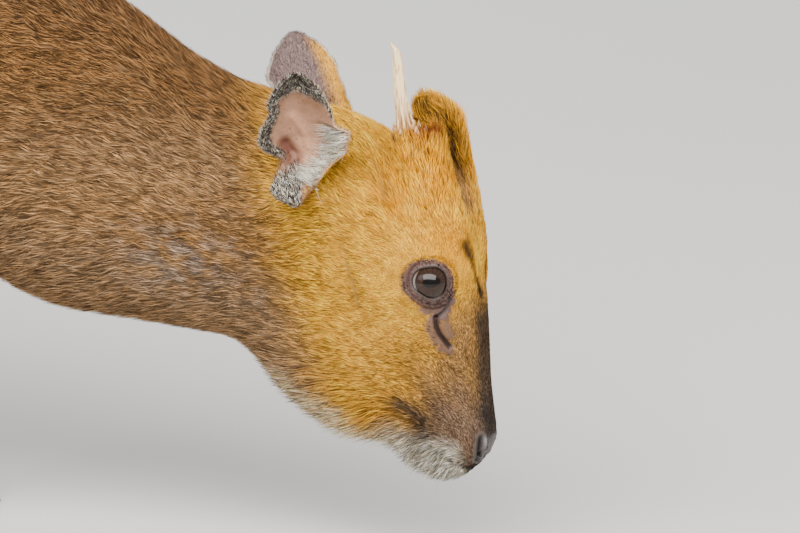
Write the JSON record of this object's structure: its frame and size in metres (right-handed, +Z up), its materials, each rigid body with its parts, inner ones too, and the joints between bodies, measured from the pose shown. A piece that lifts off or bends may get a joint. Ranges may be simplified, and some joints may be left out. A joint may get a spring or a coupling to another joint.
{
  "type": "muntjac",
  "caption": "Small short-legged deer standing with its head lowered to feed, a broken splinter of one antler on its pedicles, built life size as one still figure",
  "frame": {"origin": "on the floor under the middle of the bounding box", "axes": "+X is the way the animal faces, +Y is its left side, +Z is up"},
  "size_m": [0.8648, 0.1718, 0.4707],
  "materials": {
    "orange_coat": "short bright orange hair",
    "brown_coat": "short ticked brown hair",
    "ear_skin": "thin skin with grey hair at the rim",
    "dark_hair": "short dark hair",
    "eye": "wet and dark",
    "bone": "dull ivory bone",
    "hoof": "black horn"
  },
  "bodies": {
    "root": {"antler_right": "bone", "ear_left": "ear_skin", "ear_right": "ear_skin", "eye_left": "eye", "eye_right": "eye", "foreleg_left": "dark_hair", "foreleg_left_dewclaw_inner": "hoof", "foreleg_left_dewclaw_outer": "hoof", "foreleg_left_hoof_inner": "hoof", "foreleg_left_hoof_outer": "hoof", "foreleg_right": "dark_hair", "foreleg_right_dewclaw_inner": "hoof", "foreleg_right_dewclaw_outer": "hoof", "foreleg_right_hoof_inner": "hoof", "foreleg_right_hoof_outer": "hoof", "head": "orange_coat", "hindleg_left": "dark_hair", "hindleg_left_dewclaw_inner": "hoof", "hindleg_left_dewclaw_outer": "hoof", "hindleg_left_hoof_inner": "hoof", "hindleg_left_hoof_outer": "hoof", "hindleg_right": "dark_hair", "hindleg_right_dewclaw_inner": "hoof", "hindleg_right_dewclaw_outer": "hoof", "hindleg_right_hoof_inner": "hoof", "hindleg_right_hoof_outer": "hoof", "neck": "brown_coat", "pedicle_left": "orange_coat", "pedicle_right": "orange_coat", "tail": "brown_coat", "torso": "brown_coat"}
  },
  "joints": []
}
